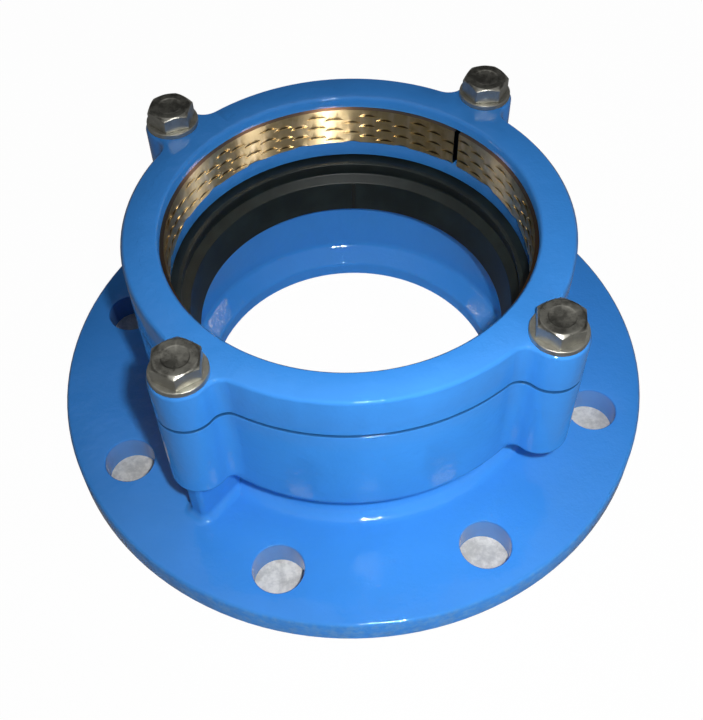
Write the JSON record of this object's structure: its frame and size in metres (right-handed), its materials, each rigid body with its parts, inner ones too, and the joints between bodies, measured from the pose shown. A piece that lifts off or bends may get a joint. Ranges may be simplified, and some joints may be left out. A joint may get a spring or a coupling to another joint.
{
  "type": "flange adaptor",
  "caption": "Cast flange adaptor for a plain-ended pipe: drilled flange, socket with bolt lugs, bolted clamp ring, split brass grip ring and rubber lip seal.",
  "frame": {"origin": "centre of the flange's underside, which is the face that seats on the mating flange", "axes": "+Z along the pipe axis from the flange to the clamp ring; the four lugs lie on the diagonals between X and Y"},
  "size_m": [0.285, 0.285, 0.1221],
  "materials": {
    "blue_coating": "glossy fusion bonded epoxy with slight orange peel",
    "black_rubber": "moulded, satin",
    "grip_brass": "machined",
    "stainless": "plain"
  },
  "bodies": {
    "socket": {"flange_body": "blue_coating", "seal_ring": "black_rubber"},
    "clamp": {"clamp_ring": "blue_coating", "grip_ring": "grip_brass", "washer_1": "stainless", "washer_2": "stainless", "washer_3": "stainless", "washer_4": "stainless"},
    "screw_1": {"bolt_1": "stainless"},
    "screw_2": {"bolt_2": "stainless"},
    "screw_3": {"bolt_3": "stainless"},
    "screw_4": {"bolt_4": "stainless"}
  },
  "joints": [
    {"name": "clamp_lift", "type": "slide", "parent": "socket", "child": "clamp", "axis": [0, 0, 1], "range_m": [0, 0.012]},
    {"name": "bolt_1_turn", "type": "hinge", "parent": "clamp", "child": "screw_1", "pos_m": [0.07403, 0.07403, 0.1146], "axis": [0, 0, 1], "range_deg": [0, 2470]},
    {"name": "bolt_2_turn", "type": "hinge", "parent": "clamp", "child": "screw_2", "pos_m": [-0.07403, 0.07403, 0.1146], "axis": [0, 0, 1], "range_deg": [0, 2470]},
    {"name": "bolt_3_turn", "type": "hinge", "parent": "clamp", "child": "screw_3", "pos_m": [-0.07403, -0.07403, 0.1146], "axis": [0, 0, 1], "range_deg": [0, 2470]},
    {"name": "bolt_4_turn", "type": "hinge", "parent": "clamp", "child": "screw_4", "pos_m": [0.07403, -0.07403, 0.1146], "axis": [0, 0, 1], "range_deg": [0, 2470]}
  ],
  "couplings": [
    {"joint": "bolt_1_turn", "follows": "clamp_lift", "rad_per_m": 3590.4},
    {"joint": "bolt_2_turn", "follows": "clamp_lift", "rad_per_m": 3590.4},
    {"joint": "bolt_3_turn", "follows": "clamp_lift", "rad_per_m": 3590.4},
    {"joint": "bolt_4_turn", "follows": "clamp_lift", "rad_per_m": 3590.4}
  ]
}
